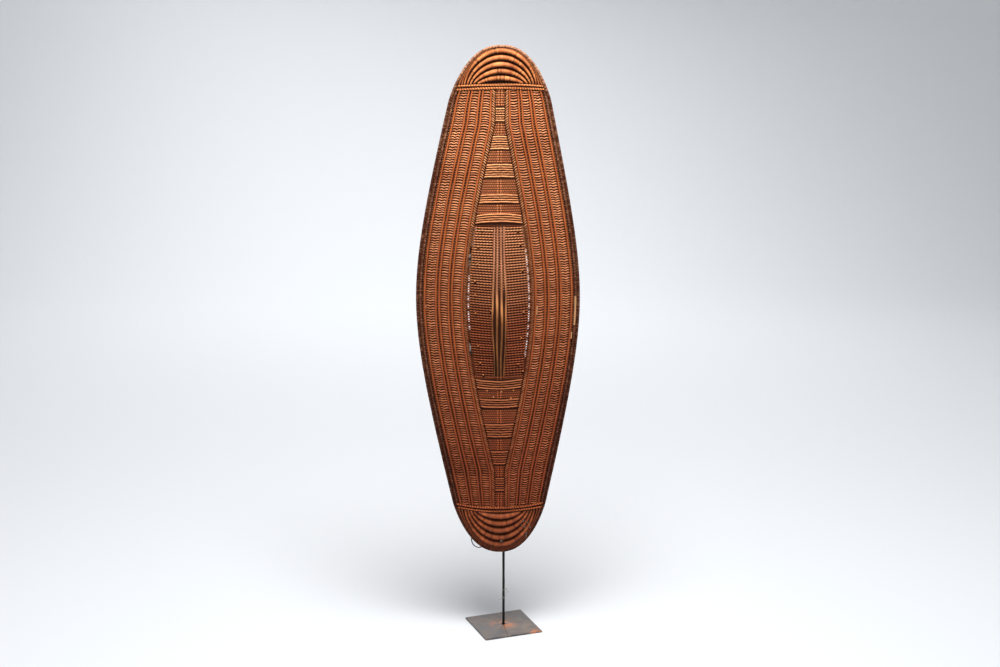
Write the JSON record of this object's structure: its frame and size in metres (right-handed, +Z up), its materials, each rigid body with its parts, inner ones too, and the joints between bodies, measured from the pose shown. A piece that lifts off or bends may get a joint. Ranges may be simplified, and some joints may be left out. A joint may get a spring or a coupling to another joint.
{
  "type": "woven cane shield on a rod stand",
  "caption": "Long oval woven cane shield with a raised centre panel, wrapped end caps and a bound rim, held upright by a thin rod on a square steel plate.",
  "frame": {"origin": "centre of the base plate's underside, on the rod's axis", "axes": "+Z up along the rod, the shield's front faces -Y, +X to the viewer's right"},
  "size_m": [0.3954, 0.1896, 1.448],
  "materials": {
    "woven_cane": "fine twined cane weave, red-brown, lighter and more orange in its upper half",
    "cane_cord": "twisted and wrapped split cane, satin, orange-brown",
    "rim_binding": "cane wrapped hoop, dark brown with lighter stitches, worn bare in places on the right",
    "grip_wood": "hand-worn dark wood, satin",
    "hide_thong": "dry dark hide, matt",
    "plate_steel": "waxed grey-brown steel with rust marks near the rod and one edge",
    "dark_iron": "blackened rod and wire, satin"
  },
  "bodies": {
    "root": {"base_plate": "plate_steel", "stand_rod": "dark_iron", "rod_binding_wire": "dark_iron", "lower_tie_wire": "dark_iron", "grip_tie_wire": "dark_iron", "rim_wire_loop": "dark_iron", "woven_body": "woven_cane", "rim_hoop": "rim_binding", "boss_panel": "woven_cane", "spine_rod_1": "cane_cord", "spine_rod_2": "cane_cord", "spine_rod_3": "cane_cord", "spine_rod_4": "cane_cord", "left_field_twist": "cane_cord", "left_field_cord": "cane_cord", "left_inner_cord_a": "cane_cord", "left_inner_cord_b": "cane_cord", "left_middle_cord_a": "cane_cord", "left_middle_cord_b": "cane_cord", "left_outer_cord_a": "cane_cord", "left_outer_cord_b": "cane_cord", "right_field_twist": "cane_cord", "right_field_cord": "cane_cord", "right_inner_cord_a": "cane_cord", "right_inner_cord_b": "cane_cord", "right_middle_cord_a": "cane_cord", "right_middle_cord_b": "cane_cord", "right_outer_cord_a": "cane_cord", "right_outer_cord_b": "cane_cord", "upper_cross_cord_1": "cane_cord", "upper_cross_cord_2": "cane_cord", "lower_cross_cord_1": "cane_cord", "lower_cross_cord_2": "cane_cord", "upper_cap_roll_1": "cane_cord", "upper_cap_roll_2": "cane_cord", "upper_cap_roll_3": "cane_cord", "upper_cap_roll_4": "cane_cord", "upper_cap_roll_5": "cane_cord", "lower_cap_roll_1": "cane_cord", "lower_cap_roll_2": "cane_cord", "lower_cap_roll_3": "cane_cord", "lower_cap_roll_4": "cane_cord", "lower_cap_roll_5": "cane_cord", "upper_ladder_band_1": "woven_cane", "upper_ladder_band_2": "woven_cane", "upper_ladder_band_3": "woven_cane", "upper_ladder_band_4": "woven_cane", "upper_ladder_band_5": "woven_cane", "lower_ladder_band_1": "woven_cane", "lower_ladder_band_2": "woven_cane", "lower_ladder_band_3": "woven_cane", "lower_ladder_band_4": "woven_cane", "lower_ladder_band_5": "woven_cane", "grip_bar": "grip_wood", "upper_grip_lashing": "hide_thong", "lower_grip_lashing": "hide_thong"}
  },
  "joints": []
}
